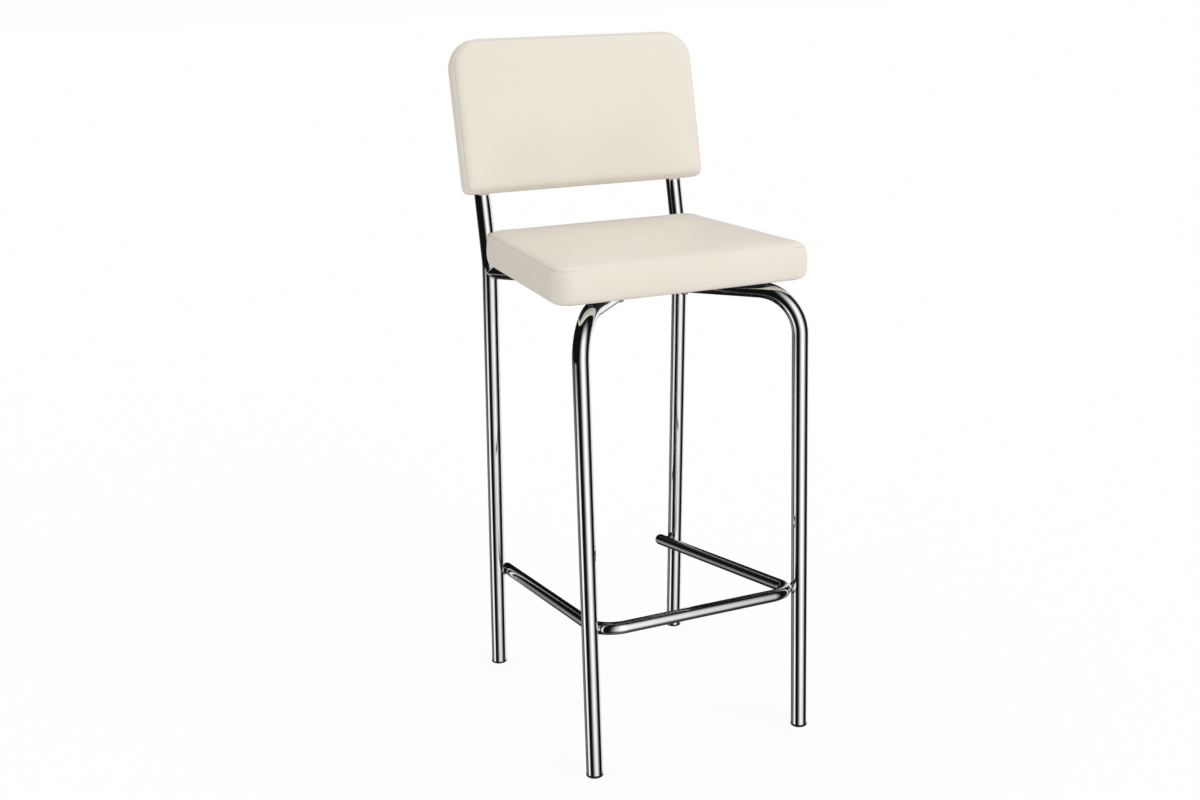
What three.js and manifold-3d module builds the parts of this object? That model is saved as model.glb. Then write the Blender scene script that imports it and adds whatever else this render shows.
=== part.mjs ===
// Bar stool with a padded back: a chromed tube frame, a sloping U footrest, and a boxed
// seat pad and back pad bolted to the tubes. Millimetres, +Z up, the sitter faces -Y.
import * as THREE from 'three';
import { mergeVertices } from 'three/addons/utils/BufferGeometryUtils.js';
import Module from 'manifold-3d';

const wasm = await Module();
wasm.setup();
const { degToRad } = THREE.MathUtils;

// Clearances
const fitGap = 0.3; // between two pieces that touch
const seatToTubeGap = 1.3; // from the seat's rear edge to the back tubes

// Tubes
const legRadius = 12.5;
const legWall = 1.5;
const footrestRadius = 9.5;
const footrestWall = 1.5;
const frontBendRadius = 65;
const backBendRadius = 60;
const footrestBendRadius = 40;

// Stance, between the leg axes at the floor
const stanceDepth = 426;
const frontStanceWidth = 358;
const rearStanceWidth = 343;
const frontLean = degToRad(1.75);
const rearLean = degToRad(2.37);

// Heights
const crossTubeHeight = 701.5; // axis of the crossing tubes that carry the seat
const backBendRise = 11.5; // from there up to the corner of the back tube's bend
const backTilt = degToRad(12.7);

// Footrest
const footrestHeight = 233; // axis of the front bar
const footrestSlope = degToRad(8.4); // fall from the front bar to the rear ends
const footrestContact = degToRad(29.5); // where its bends touch the front legs
const footrestOvershoot = 13; // tube past the axis of the rear legs
const footrestDome = 6; // plug past the tube's end

// Glides and plugs
const glideRadius = 13;
const glideThickness = 3.5;
const glideChamfer = 0.8;
const plugStemLength = 16;
const plugRibDepth = 0.5;
const backPlugDome = 3;

// Seat pad, in plan
const seatFrontWidth = 418;
const seatRearWidth = 371;
const seatDepth = 352;
const seatCornerRadius = 28;
const seatEdgeRadius = 6;
const seatPadThickness = 54;
const seatBoardThickness = 12;
const seatScrewReach = 80; // along the crossing tubes, from their crossing
const seatHem = 28; // cover turned under the board
const liningThickness = 0.8;
const liningMargin = 18; // lining's edge inside the seat's edge

// Back pad, in its own plane
const backOverhang = 39.5; // past the axis of each back tube
const backHeight = 242;
const backStart = 110.5; // from the bend's corner up to the pad's lower edge
const backTubeDrop = 39.5; // from the pad's upper edge down to the tube's top end
const backTubeRun = backStart + backHeight - backTubeDrop;
const backTopCornerRadius = 48;
const backLowerCornerRadius = 11;
const backEdgeRadius = 6;
const backPadThickness = 30;
const backBoardThickness = 10;
const backScrewInset = 45; // from the pad's lower edge and from the tube's top end

// Covers and fasteners
const coverThickness = 1.2;
const boardMargin = 1.5; // board's edge inside the cover
const screwRadius = 3;
const screwHeadRadius = 6;
const screwHeadHeight = 3.4;
const screwRim = 1.2; // straight lower part of the head
const hexKeyRadius = 2.3; // across the corners
const hexKeyDepth = 2;
const nutFlangeRadius = 9;
const nutFlangeThickness = 1.2;
const nutBarrelRadius = 4.2;
const nutBarrelLength = 8;

// Facets
const legSides = 20;
const footrestSides = 16;
const smallSides = 12;
const cornerSteps = 5; // each rounded corner of a pad
const edgeSteps = 2; // each rounded edge of a pad
const bendStepAngle = degToRad(9);

const leftAndRight = [
  { side: 'left', sign: -1 },
  { side: 'right', sign: 1 },
];

// ---- materials

function finish(color, roughness, metalness) {
  return () => new THREE.MeshStandardMaterial({ color, roughness, metalness });
}

const chrome = finish(0xdfe2e4, 0.06, 1);
const creamVinyl = finish(0xe9e2d5, 0.55, 0);
const paddingFoam = finish(0xe8dfae, 0.95, 0);
const birchPly = finish(0xcda874, 0.7, 0);
const blackPlastic = finish(0x161616, 0.5, 0);
const blackLining = finish(0x1d1d1f, 0.95, 0);
const zincSteel = finish(0xb9bdc0, 0.35, 1);

// ---- solids

function toSolid(geometry) {
  const bare = geometry.clone();
  bare.deleteAttribute('normal');
  bare.deleteAttribute('uv');
  const merged = mergeVertices(bare, 1e-4);
  const vertProperties = new Float32Array(merged.attributes.position.array);
  const triVerts = new Uint32Array(merged.index.array);
  return new wasm.Manifold(new wasm.Mesh({ numProp: 3, vertProperties, triVerts }));
}

function toGeometry(solid) {
  const mesh = solid.getMesh();
  const geometry = new THREE.BufferGeometry();
  geometry.setAttribute('position', new THREE.BufferAttribute(mesh.vertProperties, 3));
  geometry.setIndex(new THREE.BufferAttribute(mesh.triVerts, 1));
  geometry.computeVertexNormals();
  return geometry;
}

function cut(geometry, cutters) {
  let solid = toSolid(geometry);
  for (const cutter of cutters) {
    solid = solid.subtract(toSolid(cutter));
  }
  return toGeometry(solid);
}

function join(first, second) {
  return toGeometry(toSolid(first).add(toSolid(second)));
}

// A round bar from one point to another.
function rod(start, end, radius, sides) {
  const along = end.clone().sub(start);
  const geometry = new THREE.CylinderGeometry(radius, radius, along.length(), sides);
  geometry.rotateX(Math.PI / 2);
  geometry.translate(0, 0, along.length() / 2);
  const turn = new THREE.Quaternion();
  turn.setFromUnitVectors(new THREE.Vector3(0, 0, 1), along.normalize());
  geometry.applyQuaternion(turn);
  geometry.translate(start.x, start.y, start.z);
  return geometry;
}

// A turned piece about +Z, from pairs of radius and height.
function turned(profile, sides) {
  const points = profile.map(([radius, height]) => new THREE.Vector2(radius, height));
  const geometry = new THREE.LatheGeometry(points, sides);
  geometry.rotateX(Math.PI / 2);
  return geometry;
}

// ---- bent tubes

// The axis of a tube bent at its corners. Its stations are the ends of the straight runs and
// the steps of each bend, and a share of the whole picks the station.
class BentAxis extends THREE.Curve {
  constructor(corners, bendRadius) {
    super();
    this.stations = [];
    this.addEnd(corners[0], corners[1].clone().sub(corners[0]));
    for (let i = 1; i < corners.length - 1; i += 1) {
      this.addBend(corners[i - 1], corners[i], corners[i + 1], bendRadius);
    }
    const last = corners[corners.length - 1];
    this.addEnd(last, last.clone().sub(corners[corners.length - 2]));
  }

  addEnd(point, along) {
    this.stations.push({ point: point.clone(), tangent: along.clone().normalize() });
  }

  addBend(before, corner, after, radius) {
    const incoming = corner.clone().sub(before).normalize();
    const outgoing = after.clone().sub(corner).normalize();
    const angle = incoming.angleTo(outgoing);
    const inward = outgoing.clone().addScaledVector(incoming, -Math.cos(angle)).normalize();
    const setback = radius * Math.tan(angle / 2);
    const centre = corner.clone();
    centre.addScaledVector(incoming, -setback).addScaledVector(inward, radius);
    const steps = Math.ceil(angle / bendStepAngle);
    for (let i = 0; i <= steps; i += 1) {
      const turn = (angle * i) / steps;
      const point = centre.clone();
      point.addScaledVector(inward, -radius * Math.cos(turn));
      point.addScaledVector(incoming, radius * Math.sin(turn));
      const tangent = incoming.clone().multiplyScalar(Math.cos(turn));
      tangent.addScaledVector(inward, Math.sin(turn));
      this.stations.push({ point, tangent });
    }
  }

  get steps() {
    return this.stations.length - 1;
  }

  station(share) {
    return this.stations[Math.round(share * this.steps)];
  }

  getPointAt(share, target = new THREE.Vector3()) {
    return target.copy(this.station(share).point);
  }

  getTangentAt(share, target = new THREE.Vector3()) {
    return target.copy(this.station(share).tangent);
  }
}

function tube(axis, radius, wall, sides) {
  const section = new THREE.Shape();
  section.absarc(0, 0, radius, 0, 2 * Math.PI, false);
  const bore = new THREE.Path();
  bore.absarc(0, 0, radius - wall, 0, 2 * Math.PI, true);
  section.holes.push(bore);
  return new THREE.ExtrudeGeometry(section, {
    steps: axis.steps,
    curveSegments: sides / 2,
    extrudePath: axis,
    bevelEnabled: false,
  });
}

function legTube(corners, bendRadius) {
  return tube(new BentAxis(corners, bendRadius), legRadius, legWall, legSides);
}

// ---- places on the frame

const frontFootY = -stanceDepth / 2;
const rearFootY = stanceDepth / 2;
const backBendHeight = crossTubeHeight + backBendRise;

function frontLegAt(sign, height) {
  return new THREE.Vector3(
    (sign * frontStanceWidth) / 2,
    frontFootY + height * Math.tan(frontLean),
    height,
  );
}

function rearLegAt(sign, height) {
  return new THREE.Vector3(
    (sign * rearStanceWidth) / 2,
    rearFootY - height * Math.tan(rearLean),
    height,
  );
}

// The four arms of the crossing tubes meet at this point.
const crossing = (() => {
  const front = frontLegAt(1, crossTubeHeight);
  const rear = rearLegAt(-1, crossTubeHeight);
  return front.clone().lerp(rear, front.x / (front.x - rear.x));
})();

function onArm(legPoint, reach) {
  const arm = legPoint.clone().sub(crossing).normalize();
  return crossing.clone().addScaledVector(arm, reach);
}

const backTubeAlong = new THREE.Vector3(0, Math.sin(backTilt), Math.cos(backTilt));
const backTubeBehind = new THREE.Vector3(0, Math.cos(backTilt), -Math.sin(backTilt));

function onBackTube(sign, run) {
  return rearLegAt(sign, backBendHeight).addScaledVector(backTubeAlong, run);
}

// Points in the pads' own planes: the seat's is level, at the crossing tubes' axis, and the
// back's leans with the back tubes. Each has +Z from the tubes into the pad.
const seatScrewPlaces = [frontLegAt, rearLegAt].flatMap((legAt) =>
  leftAndRight.map(({ sign }) => onArm(legAt(sign, crossTubeHeight), seatScrewReach)),
);
const backScrewRuns = [backStart + backScrewInset, backTubeRun - backScrewInset];
const backScrewPlaces = leftAndRight.flatMap(({ sign }) =>
  backScrewRuns.map((run) => new THREE.Vector3((sign * rearStanceWidth) / 2, run, 0)),
);

// ---- frame pieces

// Clears everything below the glides' tops, so that each leg ends level.
function belowGlides() {
  const size = 4 * legRadius;
  const geometry = new THREE.BoxGeometry(size, size, size);
  geometry.translate(0, 0, glideThickness + fitGap - size / 2);
  return geometry;
}

function footCut(foot) {
  return belowGlides().translate(foot.x, foot.y, 0);
}

// A straight leg, or an arm of the crossing tubes, with the fitting gap around it.
function clearOfTube(start, end) {
  return rod(start, end, legRadius + fitGap, legSides);
}

function screwHole(point, along) {
  const half = along.clone().multiplyScalar(legRadius + legWall);
  return rod(point.clone().sub(half), point.clone().add(half), screwRadius + fitGap, smallSides);
}

const up = new THREE.Vector3(0, 0, 1);
const floorDrop = -legRadius; // tubes start below the floor and are cut level

// The right front leg's tube runs unbroken under the seat to the left rear leg.
function frontRightTube() {
  const corner = frontLegAt(1, crossTubeHeight);
  const rearLeg = rearLegAt(-1, crossTubeHeight);
  const bent = legTube([frontLegAt(1, floorDrop), corner, rearLeg], frontBendRadius);
  return cut(bent, [
    footCut(frontLegAt(1, 0)),
    clearOfTube(rearLegAt(-1, 0), rearLegAt(-1, 2 * crossTubeHeight)),
    screwHole(onArm(corner, seatScrewReach), up),
    screwHole(onArm(rearLeg, seatScrewReach), up),
  ]);
}

// The left front leg's tube stops at the unbroken one.
function frontLeftTube() {
  const corner = frontLegAt(-1, crossTubeHeight);
  const bent = legTube([frontLegAt(-1, floorDrop), corner, crossing], frontBendRadius);
  return cut(bent, [
    footCut(frontLegAt(-1, 0)),
    clearOfTube(frontLegAt(1, crossTubeHeight), rearLegAt(-1, crossTubeHeight)),
    screwHole(onArm(corner, seatScrewReach), up),
  ]);
}

// A short arm carries the line on from the unbroken tube to the right rear leg.
function rearRightArm() {
  const rearLeg = rearLegAt(1, crossTubeHeight);
  const straight = legTube([crossing, rearLeg], frontBendRadius);
  return cut(straight, [
    clearOfTube(frontLegAt(1, crossTubeHeight), rearLegAt(-1, crossTubeHeight)),
    clearOfTube(rearLegAt(1, 0), rearLegAt(1, 2 * crossTubeHeight)),
    screwHole(onArm(rearLeg, seatScrewReach), up),
  ]);
}

// Each rear leg bends back under the seat's edge and goes on up behind the back pad.
function rearTube(sign) {
  const corners = [
    rearLegAt(sign, floorDrop),
    rearLegAt(sign, backBendHeight),
    onBackTube(sign, backTubeRun),
  ];
  const holes = backScrewRuns.map((run) => screwHole(onBackTube(sign, run), backTubeBehind));
  return cut(legTube(corners, backBendRadius), [footCut(rearLegAt(sign, 0)), ...holes]);
}

// The footrest's corners and ends, on the right. Its bend touches the front leg, and its
// side passes just inside the rear leg.
const footrestRight = (() => {
  const frontLeg = frontLegAt(1, footrestHeight);
  const touch = legRadius + footrestRadius + fitGap;
  const bendCentreX = frontLeg.x - (footrestBendRadius + touch) * Math.cos(footrestContact);
  const bendCentreY = frontLeg.y + (footrestBendRadius + touch) * Math.sin(footrestContact);
  const barY = bendCentreY - footrestBendRadius;
  const fall = Math.tan(footrestSlope);
  const rearLegY = rearLegAt(1, footrestHeight).y;
  const span = (rearLegY - barY) / (1 - fall * Math.tan(rearLean));
  const rearX = rearLegAt(1, 0).x - touch;
  const taper = Math.atan((bendCentreX + footrestBendRadius - rearX) / span);
  const cornerX = bendCentreX + footrestBendRadius * Math.tan(Math.PI / 4 + taper / 2);
  const corner = new THREE.Vector3(cornerX, barY, footrestHeight);
  const atRearLeg = new THREE.Vector3(rearX, barY + span, footrestHeight - span * fall);
  const along = atRearLeg.clone().sub(corner).normalize();
  const end = atRearLeg.clone().addScaledVector(along, footrestOvershoot);
  return { corner, end, along };
})();

function onLeft(point) {
  return new THREE.Vector3(-point.x, point.y, point.z);
}

function footrestTube() {
  const { corner, end } = footrestRight;
  const corners = [end, corner, onLeft(corner), onLeft(end)];
  const axis = new BentAxis(corners, footrestBendRadius);
  const bent = tube(axis, footrestRadius, footrestWall, footrestSides);
  const legs = leftAndRight.flatMap(({ sign }) => [
    clearOfTube(frontLegAt(sign, 0), frontLegAt(sign, 2 * footrestHeight)),
    clearOfTube(rearLegAt(sign, 0), rearLegAt(sign, 2 * footrestHeight)),
  ]);
  return cut(bent, legs);
}

// ---- glides and plugs

// A ribbed stem that fits a tube's bore, hanging down from the origin.
function ribbedStem(boreRadius, sides) {
  const radius = boreRadius - fitGap;
  const ribs = 3;
  const pitch = plugStemLength / ribs;
  const profile = [[0, 0]];
  for (let i = 0; i < ribs; i += 1) {
    const top = -i * pitch;
    profile.push([radius, top], [radius, top - pitch / 2]);
    profile.push([radius - plugRibDepth, top - pitch / 2], [radius - plugRibDepth, top - pitch]);
  }
  profile.push([0, -plugStemLength]);
  return turned(profile.reverse(), sides);
}

// A domed plug for a tube's end, with its rim on the origin's plane and its dome on +Z.
function tubePlug(radius, wall, dome, sides) {
  const steps = 4;
  const profile = [[0, -wall], [radius - wall - fitGap, -wall]];
  profile.push([radius - wall - fitGap, fitGap], [radius, fitGap]);
  for (let i = 1; i < steps; i += 1) {
    const turn = (i / steps) * (Math.PI / 2);
    profile.push([radius * Math.cos(turn), fitGap + dome * Math.sin(turn)]);
  }
  profile.push([0, fitGap + dome]);
  return join(turned(profile, sides), ribbedStem(radius - wall, sides));
}

// A level glide disc, with a stem that leans with its leg.
function glide(legAt, sign) {
  const disc = turned(
    [
      [0, 0],
      [glideRadius - glideChamfer, 0],
      [glideRadius, glideChamfer],
      [glideRadius, glideThickness],
      [0, glideThickness],
    ],
    legSides,
  );
  disc.translate(legAt(sign, 0).x, legAt(sign, 0).y, 0);
  const stem = rod(
    legAt(sign, glideThickness / 2),
    legAt(sign, plugStemLength),
    legRadius - legWall - fitGap,
    legSides,
  );
  return join(disc, stem);
}

// ---- pads

// The corners moved in by a distance from each side of a convex outline.
function insetCorners(corners, distance) {
  const sides = corners.map((corner, i) => {
    const next = corners[(i + 1) % corners.length];
    const along = next.clone().sub(corner).normalize();
    const inward = new THREE.Vector2(-along.y, along.x);
    return { point: corner.clone().addScaledVector(inward, distance), along };
  });
  return sides.map((side, i) => {
    const previous = sides[(i + sides.length - 1) % sides.length];
    const offset = side.point.clone().sub(previous.point);
    const reach = offset.cross(side.along) / previous.along.cross(side.along);
    return previous.point.clone().addScaledVector(previous.along, reach);
  });
}

// A convex outline with each corner rounded, moved in by a distance.
function padOutline({ corners, radii }, inset) {
  const moved = insetCorners(corners, inset);
  const shape = new THREE.Shape();
  const points = moved.flatMap((corner, i) => {
    const before = moved[(i + moved.length - 1) % moved.length];
    const after = moved[(i + 1) % moved.length];
    const incoming = corner.clone().sub(before).normalize();
    const outgoing = after.clone().sub(corner).normalize();
    const angle = Math.acos(incoming.dot(outgoing));
    const radius = Math.max(radii[i] - inset, fitGap);
    const setback = radius * Math.tan(angle / 2);
    const inward = new THREE.Vector2(-incoming.y, incoming.x);
    const centre = corner.clone();
    centre.addScaledVector(incoming, -setback).addScaledVector(inward, radius);
    return Array.from({ length: cornerSteps + 1 }, (_, step) => {
      const turn = (angle * step) / cornerSteps;
      const point = centre.clone().addScaledVector(inward, -radius * Math.cos(turn));
      return point.addScaledVector(incoming, radius * Math.sin(turn));
    });
  });
  shape.setFromPoints(points);
  return shape;
}

// A slab between two levels, with both edges rounded where an edge radius is given.
function slab(outline, inset, bottom, top, edge = 0) {
  const geometry = new THREE.ExtrudeGeometry(padOutline(outline, inset), {
    depth: top - bottom - 2 * edge,
    steps: 1,
    bevelEnabled: edge > 0,
    bevelThickness: edge,
    bevelSize: edge,
    bevelOffset: -edge,
    bevelSegments: edgeSteps,
  });
  geometry.translate(0, 0, bottom + edge);
  return geometry;
}

// Bores along +Z at each screw's place.
function bores(places, radius, bottom, top) {
  return places.map(({ x, y }) => {
    const start = new THREE.Vector3(x, y, bottom);
    return rod(start, new THREE.Vector3(x, y, top), radius, smallSides);
  });
}

// A button-head screw with a hex socket, its head's seat at the given level.
function padScrew(headSeat, tip) {
  const steps = 3;
  const dome = screwHeadHeight - screwRim;
  const profile = [[0, tip], [screwRadius, tip], [screwRadius, headSeat]];
  profile.push([screwHeadRadius, headSeat], [screwHeadRadius, headSeat - screwRim]);
  for (let i = 1; i < steps; i += 1) {
    const turn = (i / steps) * (Math.PI / 2);
    const level = headSeat - screwRim - dome * Math.sin(turn);
    profile.push([screwHeadRadius * Math.cos(turn) ** 0.6, level]);
  }
  const headTop = headSeat - screwHeadHeight;
  profile.push([hexKeyRadius, headTop], [0, headTop]);
  const start = new THREE.Vector3(0, 0, headTop - screwRim);
  const end = new THREE.Vector3(0, 0, headTop + hexKeyDepth);
  const hexSides = 6;
  return cut(turned(profile.reverse(), smallSides), [rod(start, end, hexKeyRadius, hexSides)]);
}

// A flanged nut that drops into the board from the padded side.
function teeNut(boardTop) {
  const bore = screwRadius + fitGap;
  const flangeSeat = boardTop + fitGap;
  const flangeTop = flangeSeat + nutFlangeThickness;
  const barrelEnd = flangeSeat - nutBarrelLength;
  return turned(
    [
      [bore, barrelEnd],
      [nutBarrelRadius, barrelEnd],
      [nutBarrelRadius, flangeSeat],
      [nutFlangeRadius, flangeSeat],
      [nutFlangeRadius, flangeTop],
      [bore, flangeTop],
      [bore, barrelEnd],
    ],
    smallSides,
  );
}

// The levels in a pad, along +Z from the tubes' axis.
function padLevels(coverBottom, thickness, boardThickness) {
  const boardBottom = coverBottom + coverThickness + fitGap;
  const boardTop = boardBottom + boardThickness;
  const coverTop = coverBottom + thickness;
  return {
    coverBottom,
    boardBottom,
    boardTop,
    foamBottom: boardTop + fitGap,
    foamTop: coverTop - coverThickness - fitGap,
    coverTop,
    nutTop: boardTop + fitGap + nutFlangeThickness,
  };
}

// The cover's outer block less the space for what it wraps.
function padCover(outline, levels, edge, rearCuts) {
  const block = slab(outline, 0, levels.coverBottom, levels.coverTop, edge);
  const inside = slab(
    outline,
    coverThickness,
    levels.coverBottom + coverThickness,
    levels.coverTop - coverThickness,
    edge - coverThickness,
  );
  return cut(block, [inside, ...rearCuts]);
}

// The foam stands on the board, with a pocket over each nut.
function padFoam(outline, levels, edge, places) {
  const inset = coverThickness + fitGap;
  const roundEdge = edge - coverThickness;
  const low = levels.foamBottom - 2 * roundEdge;
  const block = slab(outline, inset, low, levels.foamTop, roundEdge);
  const below = slab(outline, -inset, low - inset, levels.foamBottom);
  const pockets = bores(places, nutFlangeRadius + fitGap, low, levels.nutTop + fitGap);
  return cut(block, [below, ...pockets]);
}

// The board's edges are eased, so that the cover turns under it smoothly.
function padBoard(outline, levels, edge, places) {
  const inset = coverThickness + boardMargin + fitGap;
  const eased = edge - coverThickness;
  const block = slab(outline, inset, levels.boardBottom, levels.boardTop, eased);
  const below = levels.boardBottom - legRadius;
  return cut(block, bores(places, nutBarrelRadius + fitGap, below, levels.boardTop + legRadius));
}

// ---- assembly

const stool = new THREE.Group();

function addPiece(parent, name, geometry, material) {
  const piece = new THREE.Mesh(geometry, material());
  piece.name = name;
  parent.add(piece);
  return piece;
}

function pointAlong(piece, place, direction) {
  piece.position.copy(place);
  piece.quaternion.setFromUnitVectors(up, direction);
}

function addFrame() {
  addPiece(stool, 'front_right_leg_tube', frontRightTube(), chrome);
  addPiece(stool, 'front_left_leg_tube', frontLeftTube(), chrome);
  addPiece(stool, 'rear_right_seat_arm', rearRightArm(), chrome);
  addPiece(stool, 'footrest_tube', footrestTube(), chrome);
  for (const { side, sign } of leftAndRight) {
    addPiece(stool, `rear_${side}_leg_tube`, rearTube(sign), chrome);
    addPiece(stool, `front_${side}_glide`, glide(frontLegAt, sign), blackPlastic);
    addPiece(stool, `rear_${side}_glide`, glide(rearLegAt, sign), blackPlastic);
  }
}

function addPlugs() {
  for (const { side, sign } of leftAndRight) {
    const backPlug = tubePlug(legRadius, legWall, backPlugDome, legSides);
    const backPiece = addPiece(stool, `back_tube_plug_${side}`, backPlug, blackPlastic);
    pointAlong(backPiece, onBackTube(sign, backTubeRun), backTubeAlong);
    const endPlug = tubePlug(footrestRadius, footrestWall, footrestDome, footrestSides);
    const endPiece = addPiece(stool, `footrest_end_plug_${side}`, endPlug, blackPlastic);
    const { end, along } = footrestRight;
    const mirrored = sign < 0;
    pointAlong(endPiece, mirrored ? onLeft(end) : end, mirrored ? onLeft(along) : along);
  }
}

function addFixings(parent, pad, places, levels) {
  const headSeat = -(legRadius + fitGap);
  places.forEach(({ x, y }, i) => {
    const screw = addPiece(parent, `${pad}_screw_${i + 1}`, padScrew(headSeat, levels.nutTop), zincSteel);
    screw.position.set(x, y, 0);
    const nut = addPiece(parent, `${pad}_tee_nut_${i + 1}`, teeNut(levels.boardTop), zincSteel);
    nut.position.set(x, y, 0);
  });
}

// The seat pad lies on the crossing tubes, just ahead of the back tubes.
function addSeat() {
  const group = new THREE.Group();
  group.position.z = crossTubeHeight;
  stool.add(group);
  const rearEdge = rearLegAt(1, backBendHeight).y - legRadius - seatToTubeGap;
  const frontEdge = rearEdge - seatDepth;
  const outline = {
    corners: [
      new THREE.Vector2(-seatFrontWidth / 2, frontEdge),
      new THREE.Vector2(seatFrontWidth / 2, frontEdge),
      new THREE.Vector2(seatRearWidth / 2, rearEdge),
      new THREE.Vector2(-seatRearWidth / 2, rearEdge),
    ],
    radii: new Array(4).fill(seatCornerRadius),
  };
  const liningBottom = legRadius + fitGap;
  const liningTop = liningBottom + liningThickness;
  const levels = padLevels(liningTop + fitGap, seatPadThickness, seatBoardThickness);
  const opening = slab(outline, seatHem, 0, levels.boardBottom);
  const cover = padCover(outline, levels, seatEdgeRadius, [opening]);
  const liningSheet = slab(outline, liningMargin, liningBottom, liningTop);
  const liningHoles = bores(seatScrewPlaces, screwRadius + fitGap, 0, levels.boardTop);
  addPiece(group, 'seat_cover', cover, creamVinyl);
  addPiece(group, 'seat_foam', padFoam(outline, levels, seatEdgeRadius, seatScrewPlaces), paddingFoam);
  addPiece(group, 'seat_board', padBoard(outline, levels, seatEdgeRadius, seatScrewPlaces), birchPly);
  addPiece(group, 'seat_underside_lining', cut(liningSheet, liningHoles), blackLining);
  addFixings(group, 'seat', seatScrewPlaces, levels);
}

// The back pad stands in front of the back tubes and leans with them.
function addBack() {
  const group = new THREE.Group();
  const bend = rearLegAt(1, backBendHeight);
  group.position.set(0, bend.y, bend.z);
  group.rotation.x = Math.PI / 2 - backTilt;
  stool.add(group);
  const halfWidth = rearStanceWidth / 2 + backOverhang;
  const outline = {
    corners: [
      new THREE.Vector2(-halfWidth, backStart),
      new THREE.Vector2(halfWidth, backStart),
      new THREE.Vector2(halfWidth, backStart + backHeight),
      new THREE.Vector2(-halfWidth, backStart + backHeight),
    ],
    radii: [
      backLowerCornerRadius,
      backLowerCornerRadius,
      backTopCornerRadius,
      backTopCornerRadius,
    ],
  };
  const levels = padLevels(legRadius + fitGap, backPadThickness, backBoardThickness);
  const screwWays = bores(backScrewPlaces, screwRadius + fitGap, 0, levels.boardBottom);
  const cover = padCover(outline, levels, backEdgeRadius, screwWays);
  addPiece(group, 'back_cover', cover, creamVinyl);
  addPiece(group, 'back_foam', padFoam(outline, levels, backEdgeRadius, backScrewPlaces), paddingFoam);
  addPiece(group, 'back_board', padBoard(outline, levels, backEdgeRadius, backScrewPlaces), birchPly);
  addFixings(group, 'back', backScrewPlaces, levels);
}

addFrame();
addPlugs();
addSeat();
addBack();

// The origin is on the floor, at the middle of the whole stool's outline.
stool.updateMatrixWorld(true);
const middle = new THREE.Box3().setFromObject(stool, true).getCenter(new THREE.Vector3());
stool.position.set(-middle.x, -middle.y, 0);

export default stool;
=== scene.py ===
import math
import bmesh
import bpy
from mathutils import Matrix, Vector
from mathutils.bvhtree import BVHTree
from mathutils.kdtree import KDTree


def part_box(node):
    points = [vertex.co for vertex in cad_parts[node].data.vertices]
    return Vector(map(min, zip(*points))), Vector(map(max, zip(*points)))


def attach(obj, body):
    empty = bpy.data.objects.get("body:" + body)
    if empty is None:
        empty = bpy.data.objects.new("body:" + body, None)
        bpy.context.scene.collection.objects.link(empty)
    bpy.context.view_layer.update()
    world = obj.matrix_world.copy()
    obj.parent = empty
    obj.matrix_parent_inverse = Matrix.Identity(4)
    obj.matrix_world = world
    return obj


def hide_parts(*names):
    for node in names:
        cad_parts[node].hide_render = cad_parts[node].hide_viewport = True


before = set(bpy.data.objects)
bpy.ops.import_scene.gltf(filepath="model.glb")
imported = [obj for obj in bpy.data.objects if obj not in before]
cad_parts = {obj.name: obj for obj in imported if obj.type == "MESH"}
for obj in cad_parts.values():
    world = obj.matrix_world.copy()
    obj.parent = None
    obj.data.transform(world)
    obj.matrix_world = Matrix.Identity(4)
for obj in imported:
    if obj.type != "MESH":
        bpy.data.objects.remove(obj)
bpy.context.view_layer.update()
scene = bpy.context.scene


def degrees(*angles):
    return [math.radians(a) for a in angles]


def smoothStep(low, high, value):
    t = min(max((value - low) / (high - low), 0.0), 1.0)
    return t * t * (3 - 2 * t)


def addObject(name, mesh):
    piece = bpy.data.objects.new(name, mesh)
    scene.collection.objects.link(piece)
    return piece


def meshObject(name, points, edges=(), faces=()):
    mesh = bpy.data.meshes.new(name)
    mesh.from_pydata([tuple(p) for p in points], edges, faces)
    mesh.update()
    return addObject(name, mesh)


def settle(piece):  # turns the evaluated piece into a plain mesh and takes its modifiers off
    graph = bpy.context.evaluated_depsgraph_get()
    mesh = bpy.data.meshes.new_from_object(piece.evaluated_get(graph))
    piece.modifiers.clear()
    old, piece.data = piece.data, mesh
    bpy.data.meshes.remove(old)
    mesh.name = piece.name
    return piece


def faceOutwards(piece, weld=1e-6):
    shape = bmesh.new()
    shape.from_mesh(piece.data)
    bmesh.ops.remove_doubles(shape, verts=shape.verts, dist=weld)
    bmesh.ops.dissolve_degenerate(shape, dist=weld, edges=shape.edges)
    bmesh.ops.recalc_face_normals(shape, faces=shape.faces)
    shape.to_mesh(piece.data)
    shape.free()


def shadeRound(piece, sharpAngle=40):
    piece.data.polygons.foreach_set("use_smooth", [True] * len(piece.data.polygons))
    piece.data.set_sharp_from_angle(angle=math.radians(sharpAngle))


# Sets the piece on the frame, in place of the named CAD nodes.
def fitPiece(piece, material, nodes=()):
    piece.data.materials.clear()
    piece.data.materials.append(material)
    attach(piece, "root")
    if nodes:
        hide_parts(*nodes)
    return piece


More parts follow.
